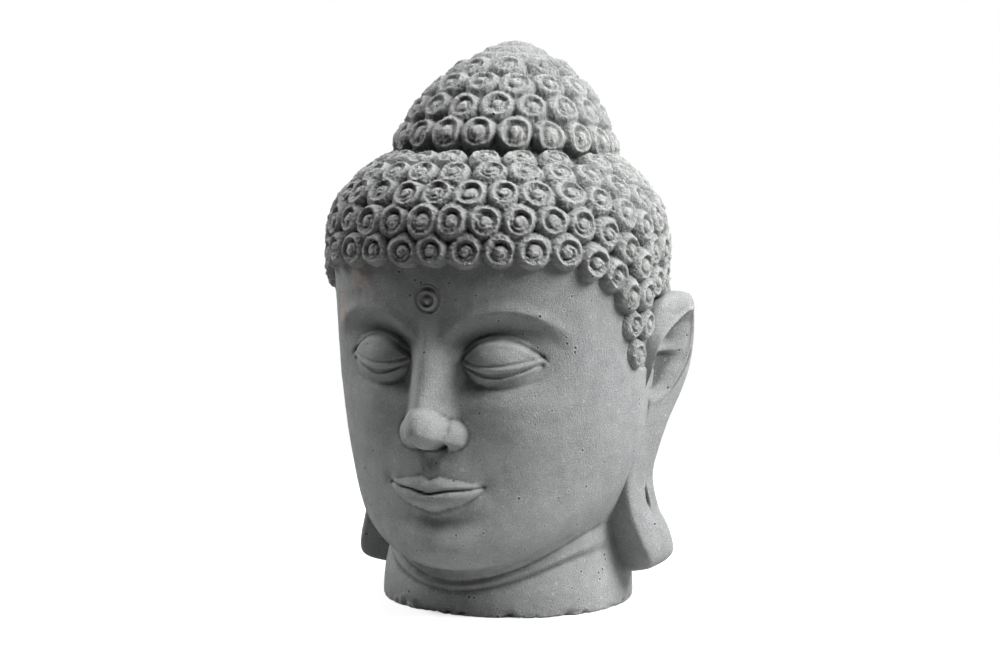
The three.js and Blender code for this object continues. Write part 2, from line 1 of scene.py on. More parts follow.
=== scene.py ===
"""Looks of a carved stone Buddha head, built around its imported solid.

The head is one block of stone, shown as eight closed surfaces carved by numpy formulas: the
face with its neck, the urna, three bands of curled hair, the topknot, and a pair of ears.
All are in metres in the solid's own frame: +Z up, the face towards -Y, the left ear at +X.
"""

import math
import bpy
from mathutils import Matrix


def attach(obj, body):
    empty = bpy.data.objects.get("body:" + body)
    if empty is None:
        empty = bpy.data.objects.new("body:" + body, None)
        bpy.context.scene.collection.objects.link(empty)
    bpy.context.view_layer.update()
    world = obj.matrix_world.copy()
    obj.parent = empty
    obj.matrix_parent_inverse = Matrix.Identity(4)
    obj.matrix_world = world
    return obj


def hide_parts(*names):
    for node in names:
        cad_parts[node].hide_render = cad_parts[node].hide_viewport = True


bl_info = {
    "name": "Carved Stone Buddha Head",
    "version": (1, 0, 0),
    "blender": (4, 5, 0),
    "location": "3D View > Sidebar > Stone Head",
    "description": "Carves a stone Buddha head with snail-shell curls, topknot and long ears",
    "category": "Add Mesh",
}

import bpy
import numpy as np

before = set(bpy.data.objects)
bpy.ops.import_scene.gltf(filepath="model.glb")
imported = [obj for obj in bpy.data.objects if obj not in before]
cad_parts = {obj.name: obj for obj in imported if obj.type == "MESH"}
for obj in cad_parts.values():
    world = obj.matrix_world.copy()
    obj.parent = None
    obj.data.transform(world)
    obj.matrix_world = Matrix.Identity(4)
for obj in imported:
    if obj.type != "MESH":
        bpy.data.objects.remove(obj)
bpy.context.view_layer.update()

# --- proportions
# Every length in this part is in units of a twenty-second of the head's height.

UNITS_HIGH = 22.0
CHIN = 2.0
FACE_THIRD = 4.706  # hair to brow, brow to nose, nose to chin
NOSE_BASE = CHIN + FACE_THIRD
MOUTH = NOSE_BASE - FACE_THIRD / 3
HAIR_LEVEL = 14.0  # first row of curls over the forehead
CREASE_RING = 16.8  # place up the rings where skull and topknot meet
MIDDLE_Y = -0.9
ROW_PITCH = 1.03
NAPE_DROP = 7 * ROW_PITCH
HAIR_ROWS = 12
CREASES_LOWEST = -10.0  # angle where the creases of the throat are lowest
# Place of each crease of the throat in front, its rise to the side, and its depth.
NECK_CREASES = ((2.15, 0.90, 0.11), (2.60, 1.35, 0.08))
RIGHT_SIDEBURN_BACK = 8.0  # degrees by which the right sideburn sits further back
# Step along a row of curls, and the share of a step by which its first curl is off the middle.
FRONT_ROWS = ((1.20, 0.25), (1.18, 0.85), (1.23, 0.15), (1.27, 0.45), (1.30, 0.0))
BACK_ROWS = ((1.25, 0.5), (1.25, 0.0))
URNA_LEVEL = 12.21
EYE_X = 2.5
BROW_RING = 11.0  # place up the rings where the brow is
HAIR_SINK = 0.14  # the hair's edge lies this far under the skin
FIRST_HAIR_RING = 4.0  # the rings below this place carry no hair
SEED = 11

# Height of a level ring at the front, side and back, its half width, front y, back y,
# y of the widest place, and squareness.
HEAD_RINGS = np.array([
    [0.00, 0.00, 0.00, 4.88, -4.60, 4.88, 0.00, 2.10],
    [0.14, 0.14, 0.14, 4.98, -4.70, 4.98, 0.00, 2.10],
    [0.80, 1.10, 1.30, 4.93, -4.66, 4.93, 0.00, 2.10],
    [1.45, 2.40, 3.00, 4.74, -4.45, 4.85, 0.00, 2.10],
    [1.80, 3.45, 4.60, 4.75, -4.85, 4.85, -0.10, 2.08],
    [2.08, 4.15, 5.90, 5.12, -5.85, 4.95, -0.30, 2.03],
    [2.90, 5.05, 7.10, 5.52, -6.52, 5.20, -0.50, 2.02],
    [5.00, 6.35, 8.40, 5.84, -6.64, 5.30, -0.70, 2.03],
    [6.70, 7.60, 9.50, 6.00, -6.74, 5.36, -0.80, 2.08],
    [8.40, 8.95, 10.5, 6.07, -6.88, 5.40, -0.90, 2.15],
    [10.0, 10.3, 11.4, 6.12, -7.02, 5.40, -0.90, 2.18],
    [11.4, 11.5, 12.2, 6.18, -7.16, 5.40, -0.90, 2.17],
    [12.8, 12.8, 13.1, 6.26, -7.28, 5.38, -0.90, 2.16],
    [14.0, 14.0, 14.1, 6.30, -7.30, 5.32, -0.90, 2.16],
    [15.2, 15.2, 15.2, 6.14, -7.14, 5.15, -0.90, 2.13],
    [16.1, 16.1, 16.1, 5.60, -6.60, 4.60, -0.85, 2.10],
    [16.8, 16.8, 16.7, 4.95, -5.85, 4.00, -0.75, 2.05],
    [17.3, 17.3, 17.2, 4.05, -4.70, 3.30, -0.60, 2.00],
    [17.6, 17.6, 17.5, 2.40, -3.00, 1.80, -0.50, 2.00],
])
LAST_RING = len(HEAD_RINGS) - 1.0

# Radius and height up the topknot, before it is leaned and tilted.
TOPKNOT = np.array([
    [4.00, 16.60], [4.05, 17.40], [4.10, 17.90], [3.90, 18.35],
    [3.68, 18.90], [3.36, 19.50], [2.92, 20.07], [2.45, 20.55],
    [2.08, 20.95], [1.72, 21.28], [1.05, 21.72], [0.42, 21.99],
])
TOPKNOT_FOOT = 17.4
TOPKNOT_TILT = math.radians(5.0)
TOPKNOT_LEAN = 0.12
TOPKNOT_Y = -0.2
TOPKNOT_TIP = 22.06
# Length up the topknot, number of curls, first curl's share of a step and height share.
TOPKNOT_ROWS = (
    (1.33, 20, 0.5, 1.0),
    (2.50, 18, 0.8, 0.9),
    (3.61, 15, 0.1, 0.85),
    (4.80, 11, 0.6, 0.62),
)
CAP_LENGTH = 5.0  # length up the topknot at which its plain cap starts

# Height of a level slice of the left ear, front edge x and y, back edge x and y, thickness.
EAR_SLICES = np.array([
    [12.14, 6.40, 0.30, 7.00, 1.72, 1.15],
    [11.83, 6.36, -0.05, 7.20, 2.02, 1.30],
    [10.80, 6.20, -0.42, 7.22, 2.10, 1.30],
    [9.45, 6.00, -0.60, 7.12, 1.90, 1.25],
    [8.30, 5.72, -0.80, 6.92, 1.47, 1.20],
    [7.20, 5.72, -1.05, 6.60, 0.95, 1.20],
    [6.10, 5.70, -1.28, 6.30, 0.65, 1.35],
    [5.00, 5.60, -1.30, 6.12, 0.50, 1.60],
    [3.90, 5.70, -1.18, 6.34, 0.52, 1.90],
    [3.00, 5.98, -0.92, 6.74, 0.74, 2.10],
    [2.25, 6.26, -0.66, 6.98, 0.78, 2.20],
    [1.78, 6.30, -0.50, 6.98, 0.66, 2.10],
])
RIGHT_LOBE_DROP = 0.53  # the right lobe hangs a little lower
RIGHT_LOBE_OUT = 0.2  # and further out

# --- surfaces

# Rings and columns of each surface, and of each band of hair.
GRIDS = {
    "face_and_neck": (294, 332),
    "urna": (44, 96),
    "hair": (118, 760),
    "topknot": (130, 580),
    "ear": (176, 146),
}
# Share of the face's rings that lie below each place up the rings.
FACE_SHARES, FACE_PLACES = (0.0, 0.02, 0.19, 0.89, 1.0), (0.0, 1.0, 5.0, 11.3, 14.2)
UNDER_HAIR = 0.6  # the skin sinks this far where the hair covers it
# Share of the way up where each band of hair starts and stops, and the height of its hidden
# ends.
HAIR_BANDS = {
    "hair_lower": (0.0, 0.34, 10.5, 13.0),
    "hair_middle": (0.34, 0.67, 13.0, 14.5),
    "hair_upper": (0.67, 1.0, 14.5, 16.0),
}
CREST = 0.42  # a curl is painted as pale as it gets from this height on, with wear and a painted highlight
TOOLING = 0.055  # depth of the rough tooling of the hair
URNA_RADIUS = 0.70
# Share of the ear's columns at which its front, outer, back and inner faces start.
EAR_SHARES = (0.0, 0.14, 0.70, 0.84, 1.0)
SMOOTH, DUSTY = 0.25, 0.8  # dustiness of the face, neck and ears, and of the hair; it also sets the strength of the painted highlight and shade
# Middle of each rust-brown stain in metres, and its reach.
STAINS = (((-0.0705, -0.148, 0.290), 0.022), ((-0.098, -0.123, 0.264), 0.020))

# --- camera and light

CAMERA_TURN = 24.0
CAMERA_AWAY = 1.8
CAMERA_HEIGHT = 0.388
CAMERA_LENS = 72.0
CAMERA_DOWN = 4.80
CAMERA_YAW = 0.23
FLOOR_REACH = 1.5

# Where the backdrop's light is strongest, and how far along it the light starts and ends
# growing, and its least and most.
GLOW_DIRECTION = (0.0, 0.94, 0.34)
WORLD_GLOW = {"From Min": -0.35, "From Max": 0.9, "To Min": 0.0, "To Max": 0.85}

LIGHTS_AIM = 0.25  # height of the point that the lights face
# Name, angle round from the front, angle up, distance, width, watts.
LIGHTS = (
    ("key_right", 95.0, 38.0, 1.9, 1.0, 120.0),
    ("fill_left", -88.0, 40.0, 2.2, 1.1, 76.0),
    ("top", 70.0, 72.0, 1.9, 1.1, 46.0),
    ("back", 190.0, 35.0, 2.2, 1.3, 14.0),
)


# --- curve helpers


def held(t):
    """A value held between 0 and 1."""
    return np.clip(t, 0.0, 1.0)


def step(t):
    """Smooth step: 0 below 0, 1 above 1, and 3t^2 - 2t^3 between."""
    t = held(t)
    return t * t * (3.0 - 2.0 * t)


def bell(t):
    """Bell curve: e to the power of minus t squared."""
    return np.exp(-t * t)


def soft_max(a, b, width):
    """The larger of two heights, with the crease between them rounded over a width."""
    share = held(0.5 + 0.5 * (a - b) / width)
    return b + (a - b) * share + width * share * (1.0 - share)


def soft_min(a, b, width):
    """The smaller of two heights, with the crease between them rounded over a width."""
    return -soft_max(-a, -b, width)


def dome(t):
    """Quarter circle over t squared: the square root of 1 - t, and 0 past 1."""
    return np.sqrt(held(1.0 - t))


def along(rows, place):
    """Catmull-Rom curve through the rows, read at any array of places."""
    last = len(rows) - 1
    padded = np.concatenate([[2 * rows[0] - rows[1]], rows, [2 * rows[-1] - rows[-2]]])
    i = np.clip(np.floor(place).astype(int), 0, last - 1)
    f = (place - i)[..., None]
    a, b, c, d = (padded[i + k] for k in range(4))
    cubic = 3 * (b - c) + d - a
    return 0.5 * (2 * b + (c - a) * f + (2 * a - 5 * b + 4 * c - d) * f**2 + cubic * f**3)


def vectors(*parts):
    """Arrays of numbers side by side, as an array of vectors."""
    return np.stack(parts, axis=-1)


def wrapped(angle):
    """The same angle between minus and plus half a turn."""
    return np.arctan2(np.sin(angle), np.cos(angle))


def unit(arrows):
    """Vectors divided by their own lengths."""
    return arrows / np.maximum(np.linalg.norm(arrows, axis=-1, keepdims=True), 1e-9)


def value_noise(points, size, seed):
    """Smooth noise from -1 to 1: random corner values of cubes of a given size, blended."""
    cells = 32
    table = np.random.default_rng(seed).uniform(-1.0, 1.0, (cells, cells, cells))
    cell = np.floor(points / size).astype(int)
    f = step(points / size - cell)
    total = 0.0
    for corner in np.ndindex(2, 2, 2):
        weight = np.prod(np.where(corner, f, 1.0 - f), axis=-1)
        total = total + weight * table[tuple(np.moveaxis((cell + corner) % cells, -1, 0))]
    return total


# --- head and face forms


def head_points(angle, place):
    """Bare head: on each level ring the radius at an angle a from the front is
    ((|sin a| / width)^n + (|cos a| / depth)^n)^(-1/n), and the ring's height runs from its
    front or back value to its side value with the square of cos a."""
    ring = along(HEAD_RINGS, place)
    front, side, back, width, front_y, back_y, middle_y, square = np.moveaxis(ring, -1, 0)
    s, c = np.sin(angle), np.cos(angle)
    depth = np.where(c > 0, middle_y - front_y, back_y - middle_y)
    radius = (np.abs(s / width) ** square + np.abs(c / depth) ** square) ** (-1.0 / square)
    height = side + (np.where(c > 0, front, back) - side) * c * c
    return vectors(radius * s, middle_y - radius * c, height)


def face_ground(x, z):
    """Sum of bells: socket under the brow line, brow crest, cheek, muzzle, chin and its groove."""
    brow_line = 11.8 - np.where(x < 2.9, 0.17, 0.24) * (x - 2.9) ** 2
    under = brow_line - z
    deep = 0.55 * bell((x - 1.2) / 1.5) + 0.36 * bell((x - 3.2) / 1.3)
    socket = -deep * step((under + 0.05) / 0.8) * step((z - 8.2) / 1.7) * step((5.5 - x) / 1.3)
    crest = 0.09 * bell((under + 0.05) / 0.25) * step((x - 0.2) / 0.8) * step((5.2 - x) / 1.4)
    cheek = 0.22 * bell((x - 3.1) / 1.5) * bell((z - 7.3) / 1.7)
    muzzle = 0.40 * bell(x / 1.9) * bell((z - 5.35) / 1.35)
    chin = 0.45 * bell(x / 1.35) * bell((z - 3.05) / 0.8)
    groove = -0.22 * bell(x / 1.2) * bell((z - 4.02) / 0.34)
    return socket + crest + cheek + muzzle + chin + groove


def add_eyes(ground, x, z):
    """Eyeball as an ellipsoid over the ground, with a raised upper lid that hangs to a curved
    edge, a low lower lid, a thin slit of eye between them, and creases that follow the lids."""
    off = x - EYE_X
    across = off / 1.3
    round_share = (off / 1.45) ** 2 + ((z - 9.92) / 1.02) ** 2
    inside = held(1.0 - across * across)
    upper_edge = 9.58 + 0.22 * across * across + 0.05 * across
    lower_edge = upper_edge - 0.22 * inside
    above = z - upper_edge
    upper = 0.11 * step(above / 0.05 + 0.5)
    lower = 0.09 * step((lower_edge - z) / 0.05 + 0.5) * step((z - 8.8) / 0.4)
    lids = np.where(inside > 0, np.maximum(upper, lower), 0.10)
    eye = np.where(round_share < 1.0, -0.92 + 1.02 * dome(round_share) + lids, -9.0)
    fade = step((1.14 - np.abs(across)) / 0.12)
    lines = 0.05 * bell((above - 0.09) / 0.07) - 0.05 * bell((above - 0.24) / 0.05)
    lines = lines + 0.035 * bell((lower_edge - z - 0.09) / 0.08)
    corner = -0.10 * bell((np.abs(across) - 1.04) / 0.08) * bell((above + 0.06) / 0.09)
    crease = 10.78 - 0.80 * (off / 1.5) ** 2
    fold = -0.10 * bell((z - crease) / 0.065) + 0.04 * bell((z - crease + 0.16) / 0.1)
    fold = fold * step((1.12 - np.abs(off / 1.5)) / 0.25)
    pouch = 8.92 + 0.42 * (off / 1.4) ** 2
    under = -0.05 * bell((z - pouch) / 0.10) * step((1.1 - np.abs(off / 1.4)) / 0.4)
    return soft_max(ground, eye, 0.34) + (lines + corner) * fade + fold + under


def add_nose(ground, x, z):
    """Nose: a ridge that comes forward evenly down the face, with ellipsoids for its tip and
    wings, cut by a slanted underside with two nostrils."""
    down = (11.5 - z) / (11.5 - 7.45)
    low = held(down)
    turn = 0.34 + 0.06 * low
    ridge = -0.06 + 1.62 * np.clip(down, -1.0, 1.2)
    sides = ridge - (1.05 + 0.95 * low) * (np.hypot(x, turn) - turn)
    sides = soft_min(sides, 0.15 + 3.0 * (z - NOSE_BASE - 0.15), 0.3)
    tip_share = (x / 0.84) ** 2 + ((z - 7.52) / 0.82) ** 2
    wing_share = ((x - 0.80) / 0.60) ** 2 + ((z - 7.24) / 0.60) ** 2
    tip = np.where(tip_share < 1.0, 0.45 + 1.14 * dome(tip_share), -9.0)
    wing = np.where(wing_share < 1.0, -0.20 + 0.84 * dome(wing_share), -9.0)
    nose = soft_max(soft_max(sides, tip, 0.65), wing, 0.60)
    nostril = -0.42 * bell((x - 0.50) / 0.20) * bell((z - 6.86) / 0.14)
    return soft_max(ground, np.where(z > 6.2, nose, -9.0), 0.28) + nostril


def lips(x, z):
    """Lips: two rounded rolls that meet in a line rising to the corners, with a shallow dip
    under the nose."""
    half = 1.90
    side = x / half
    open_share = held(1.0 - side * side)
    line_z = MOUTH + 0.17 * side * side - 0.06 * bell(x / 0.35) + 0.03 * bell((x - 0.8) / 0.4)
    upper_tall = 0.46 * open_share**0.75 + 0.10 * bell((x - 0.36) / 0.25) * open_share
    lower_tall = 0.70 * open_share**0.65
    up = held((z - line_z) / np.maximum(upper_tall, 1e-3))
    down = held((line_z - z) / np.maximum(lower_tall, 1e-3))
    full = open_share**0.6
    upper = 0.30 * dome(((up - 0.38) / 0.64) ** 2) * (1.0 - 0.35 * up) * full
    lower = 0.37 * dome(((down - 0.42) / 0.60) ** 2) * full
    rolls = np.where((z >= line_z) & (z < line_z + upper_tall), upper, 0.0)
    rolls = rolls + np.where((z < line_z) & (z > line_z - lower_tall), lower, 0.0)
    line = -0.14 * bell((z - line_z) / 0.055) * step((half + 0.12 - x) / 0.2)
    corner = -0.09 * bell((x - half - 0.05) / 0.26) * bell((z - MOUTH - 0.2) / 0.34)
    dip = -0.07 * bell(x / 0.2) + 0.04 * bell((x - 0.4) / 0.18)
    dip = dip * step((z - 5.7) / 0.4) * step((6.65 - z) / 0.4)
    return rolls + line + corner + dip


def urna_height(radius):
    """Mark between the brows: a shallow sunken disc, which drops out of sight at its rim, with
    a ring and a knob in it, from bells of the radius."""
    disc = 0.02 - 0.06 * step((0.56 - radius) / 0.12) - 0.30 * step((radius - 0.56) / 0.10)
    return disc + 0.15 * bell((radius - 0.315) / 0.065) + 0.15 * bell(radius / 0.14) ** 0.8


def urna_points(radius, turn):
    """Urna: circles over the forehead, whose front bulges as a superellipse of x."""
    x, z = radius * np.sin(turn), URNA_LEVEL + radius * np.cos(turn)
    place = BROW_RING + (z - 11.4) / 1.4
    _, _, _, width, front_y, _, middle_y, square = np.moveaxis(along(HEAD_RINGS, place), -1, 0)
    bulge = (1.0 - np.abs(x / width) ** square) ** (1.0 / square)
    y = middle_y + (front_y - middle_y) * bulge - urna_height(radius)
    return vectors(x, y, z)


def face_relief(across, z):
    """How far the face stands forward of the bare head, faded out towards the ears."""
    x = np.abs(across)
    relief = add_nose(add_eyes(face_ground(x, z), x, z), x, z) + lips(x, z)
    under_urna = 0.25 * step((0.52 - np.hypot(x, z - URNA_LEVEL)) / 0.12)
    return relief * step(5.6 - x) - under_urna


def neck_folds(angle, place):
    """Two creases round the throat, lowest a little to the right of the front. Each place up
    the rings rises with a smooth step of the angle, and is a bell-shaped groove under a roll."""
    turned = angle - math.radians(CREASES_LOWEST)
    around = np.degrees(np.abs(wrapped(turned)))
    folds = 0.0
    for front, rise, deep in NECK_CREASES:
        off = place - front - rise * step(around / 75.0)
        folds = folds - deep * bell(off / 0.16) + 0.05 * bell((off - 0.3) / 0.22)
    return folds * step((100.0 - around) / 35.0)


# --- hair layout


def come_down(angle, row):
    """Drop of a row of curls, counted from the hair's edge, from the forehead to the nape:
    a smooth step over the temple, then two steep S-curves before and behind the ear."""
    turned = np.degrees(wrapped(angle))
    around = np.abs(turned)
    front = 77.5 + 7.0 * row + np.where(turned < 0, RIGHT_SIDEBURN_BACK, 0.0)
    temple = 0.17 * step((around - 4.0 * row - 42.0) / 36.0)
    sideburn = 0.50 / (1.0 + np.exp((front - around) / 2.5))
    behind = 0.33 / (1.0 + np.exp((114.0 + 10.0 * row - around) / 3.0))
    return NAPE_DROP * (temple + sideburn + behind)


def row_length(angle, row):
    """Length up the skull of a row, counted from the first row over the forehead."""
    return row * ROW_PITCH - come_down(angle, row)


class Climb:
    """Table of the place up a surface of rings for every angle and length up it, from the start
    or from a height."""

    def __init__(self, points_at, start, end, zero_z=None):
        self.angles = np.radians(np.arange(-180.0, 181.0, 1.0))
        places = np.arange(start, end + 0.01, 0.05)
        points = points_at(self.angles[:, None], places[None, :])
        moved = np.linalg.norm(np.diff(points, axis=1), axis=-1)
        lengths = np.pad(np.cumsum(moved, axis=1), ((0, 0), (1, 0)))
        if zero_z is not None:
            zero = [np.interp(zero_z, z, row) for z, row in zip(points[..., 2], lengths)]
            lengths = lengths - np.array(zero)[:, None]
        self.low, self.pitch = float(lengths.min()), 0.05
        self.grid = np.arange(self.low, float(lengths.max()) + self.pitch, self.pitch)
        self.places = np.array([np.interp(self.grid, row, places) for row in lengths])
        self.ends = lengths[:, -1]

    def place(self, angle, length):
        """Place up the rings, by interpolation between the table's angles and lengths."""
        turned = np.degrees(wrapped(angle)) + 180.0
        i = np.clip(np.floor(turned).astype(int), 0, len(self.angles) - 2)
        up = np.clip((length - self.low) / self.pitch, 0.0, len(self.grid) - 1.001)
        j = np.floor(up).astype(int)
        f, g = turned - i, up - j
        low = self.places[i, j] * (1 - g) + self.places[i, j + 1] * g
        high = self.places[i + 1, j] * (1 - g) + self.places[i + 1, j + 1] * g
        return low * (1 - f) + high * f

    def end(self, angle):
        """Length from the zero level to the last place, at any angle."""
        return np.interp(wrapped(angle), self.angles, self.ends)


def on_surface(points_at, climb, angle, length):
    """Points of a surface with the directions round it, up it and out of it."""
    nudge = 0.02
    here = points_at(angle, climb.place(angle, length))
    across = unit(points_at(angle + nudge, climb.place(angle + nudge, length)) - here)
    above = points_at(angle, climb.place(angle, length + nudge)) - here
    below = points_at(angle, climb.place(angle, length - nudge)) - here
    out = unit(np.cross(across, above - below))
    return here, across, unit(np.cross(out, across)), out


def make_curls(points_at, climb, spots, seed):
    """Curls at (angle, length, height share, size share) spots, each with its own frame and
    irregularities."""
    rng = np.random.default_rng(seed)
    spots = np.array(spots)
    count = len(spots)
    centre, across, upward, _ = on_surface(points_at, climb, spots[:, 0], spots[:, 1])
    shift = rng.normal(0.0, 0.03, (count, 2))
    return {
        "centre": centre + across * shift[:, :1] + upward * shift[:, 1:],
        "across": across,
        "upward": upward,
        "radius": rng.uniform(0.64, 0.71, count) * spots[:, 3],
        "height": rng.uniform(0.38, 0.47, count) * spots[:, 2],
        "turn": rng.uniform(0.15, 0.65, count),
        "coil": rng.uniform(0.06, 0.16, count),
        "rim": rng.uniform(0.60, 0.67, count),
        "foot": rng.uniform(0.37, 0.43, count),
        "knob": rng.normal((0.05, -0.05), 0.028, (count, 2)),
        "wobble": rng.uniform(0.0, 2 * math.pi, (count, 2)),
        "depth": rng.uniform(0.30, 0.46, count),
        "hook": rng.uniform(0.10, 0.45, count),
    }


def curl_shape(curl, offset):
    """Height of a snail-shell curl, as a share of its own height. A skirt falls from the rim to
    the ground as 1 - t^1.6. Inside the rim a dish sinks to the foot of a knob, a dome as
    sqrt(1 - r^2) whose foot winds in as r = foot - coil * turns. The dish is deepest at the
    upper left, a bridge fills it where the winding starts, and a bell-shaped hook carries the
    winding on into the knob."""
    skirt_top, dish_top, skirt_end = 0.88, 0.86, 1.10
    radius, wobble, knob = curl["radius"], curl["wobble"], curl["knob"]
    u = np.sum(offset * curl["across"], axis=-1) / radius
    v = np.sum(offset * curl["upward"], axis=-1) / radius
    psi = np.arctan2(v, u)
    uneven = 1 + 0.05 * np.sin(2 * psi + wobble[:, 0]) + 0.035 * np.sin(3 * psi + wobble[:, 1])
    rho = np.linalg.norm(offset, axis=-1) / radius * uneven
    rim, coil = curl["rim"], curl["coil"]
    knob_u, knob_v = u - knob[:, 0], v - knob[:, 1]
    inner, turn = np.hypot(knob_u, knob_v), np.arctan2(knob_v, knob_u)
    turned = np.mod(turn / (2 * math.pi) + curl["turn"], 1.0)
    foot = curl["foot"] + coil * (0.5 - turned)
    open_dish = step((turned - 0.02) / 0.22) * step((1.0 - turned) / 0.08)
    sink = curl["depth"] * (0.55 + 0.45 * np.cos(turn - 2.1)) * (0.12 + 0.88 * open_dish) + 0.06
    rise = held((inner - foot) / (rim - foot))
    wound = np.mod(turned + 0.10, 1.0)
    hook = bell((inner - curl["foot"] + 0.5 * coil - 0.03 + 0.36 * wound) / 0.055)
    hook = step(wound / 0.08) * (1.0 - step(wound / 0.85)) * hook
    fall = held((rho - rim) / (skirt_end - rim))
    skirt = skirt_top * (1.0 - fall**1.6)
    top = dish_top - sink * (1.0 - rise**1.7) + (0.10 + sink) * dome((inner / foot) ** 2)
    top = top - hook * curl["hook"]
    crest = 0.05 * bell((inner - rim) / 0.05)
    inside = step((rim + 0.05 - inner) / 0.10)
    return (skirt + (top - skirt) * inside + crest) * curl["height"]


def curl_field(points, curls):
    """Height of all the curls over surface points: the softened larger of the two nearest,
    worked out in blocks to spare memory."""
    flat = points.reshape(-1, 3)
    heights = []
    for block in np.array_split(flat, max(1, len(flat) // 8000)):
        reach = np.linalg.norm(block[:, None] - curls["centre"][None], axis=-1) / curls["radius"]
        pair = []
        for which in np.argsort(reach, axis=1)[:, :2].T:
            curl = {name: values[which] for name, values in curls.items()}
            pair.append(curl_shape(curl, block - curl["centre"]))
        heights.append(soft_max(*pair, 0.09))
    return np.concatenate(heights).reshape(points.shape[:-1])


def hair_spots(climb):
    """Places of the hair's curls: along each row's curve at equal steps, left out where an
    ear covers them, every other row shifted by half a step."""
    angles = np.radians(np.arange(-180.0, 180.01, 0.25))
    spots = []
    for row in range(HAIR_ROWS):
        length = row_length(angles, row)
        place = climb.place(angles, length)
        points = head_points(angles, place)
        gap = np.linalg.norm(np.diff(points, axis=0), axis=-1)
        open_row = (place <= CREASE_RING - 0.1) & (length < climb.end(angles) - 0.3)
        run = np.concatenate([[0.0], np.cumsum(gap * (open_row[1:] & open_row[:-1]))])
        pitch, phase = FRONT_ROWS[row] if row < len(FRONT_ROWS) else BACK_ROWS[row % 2]
        if run[-1] < pitch:
            continue
        count = round(run[-1] / pitch)
        middle = np.interp(0.0, angles, run)
        first = (middle / (run[-1] / count) + phase) % 1.0
        for i in range(count):
            wanted = (i + first) * run[-1] / count
            at = np.interp(wanted, run, angles)
            up = row_length(at, row)
            spot = head_points(at, climb.place(at, up))
            if not under_ear(spot):
                sideburn = step((abs(spot[0]) - 4.4) / 0.8) * step((11.6 - spot[2]) / 0.8)
                spots.append((at, up, 1.0 - 0.30 * sideburn, 1.0 - 0.16 * sideburn))
    return spots


def under_ear(spot):
    """True where the ear covers the hair, or where the skin beside it is bare."""
    x, y, z = spot
    beside = -1.05 < y < 1.9 and z < 12.1
    below = y < 1.9 and z < 9.6
    return abs(x) > 4.0 and (beside or below)


# --- topknot


def topknot_place(points):
    """Leans the upright topknot back in proportion to height, then tilts it about its foot."""
    x, y, z = np.moveaxis(points, -1, 0)
    up = z - TOPKNOT_FOOT
    leaned = y + TOPKNOT_LEAN * up
    cos, sin = math.cos(TOPKNOT_TILT), math.sin(TOPKNOT_TILT)
    return vectors(
        x,
        TOPKNOT_Y + leaned * cos + up * sin,
        TOPKNOT_FOOT + up * cos - leaned * sin,
    )


def topknot_points(angle, place):
    """Topknot: a circle at each height of the profile, leaned and tilted."""
    radius, height = np.moveaxis(along(TOPKNOT, place), -1, 0)
    angle, radius, height = np.broadcast_arrays(angle, radius, height)
    upright = vectors(radius * np.sin(angle), -radius * np.cos(angle), height)
    return topknot_place(upright)


def topknot_spots():
    """Places of the topknot's curls: rings of equal steps, alternately shifted by half."""
    spots = []
    for length, count, phase, high in TOPKNOT_ROWS:
        spots += [(2 * math.pi * t, length, high, 1.0) for t in (np.arange(count) + phase) / count]
    return spots


# --- ears


def ear_relief(across, z):
    """Carving of the ear's outer face. Two crest lines and an arch over them stand round an
    almond bowl; the broad front rim slopes up to the first as a tent, and a narrow groove
    parts the second from the raised back edge. The bowl drops by a smooth step at a ledge.
    Below it lie a bump, a hole, and a slit in the lobe."""
    t = held((z - 8.0) / 3.45)
    low, high = step((z - 7.9) / 0.5), step((11.5 - z) / 0.25)
    front = 0.05 + 0.06 * (1.0 - t) ** 2 + 0.65 * t**5
    back = 0.89 - 0.36 * (1.0 - t) ** 3
    behind_front, before_back = across - front, back - across
    inside = step(behind_front / 0.18) * step(before_back / 0.40)
    hollow = -(0.36 + 0.20 * step((9.9 - z) / 0.18)) * inside * low * high
    ledge = 0.08 * bell((z - 9.98) / 0.07) * inside
    slope = held(across / front)
    tent = 0.20 * np.where(behind_front < 0, slope, 1.0 - step(behind_front / 0.4))
    front_line = 0.12 * step((z - 8.3) / 0.8) * bell(behind_front / 0.030)
    rims = np.maximum(front_line, 0.10 * bell(before_back / 0.026))
    between = step((before_back + 0.10) / 0.12) * step((behind_front + 0.06) / 0.08)
    arch = np.maximum(rims * high, 0.07 * bell((z - 11.45) / 0.08) * between)
    outer = 0.08 * step((-before_back - 0.045) / 0.04) * step((z - 7.6) / 1.7)
    arch = arch - 0.08 * bell((before_back + 0.04) / 0.022) * step((11.7 - z) / 0.5)
    upper = ((tent + arch) * low + outer) * step((12.15 - z) / 0.6)
    bump = 0.15 * bell((across - 0.38) / 0.22) * bell((z - 8.3) / 0.3)
    hole = -0.42 * bell((across - 0.24) / 0.07) * bell((z - 7.72) / 0.34)
    slit = -0.30 * bell((across - 0.62) / 0.028) * bell((z - 4.3) / 0.3)
    return hollow + ledge + upper + bump + hole + slit


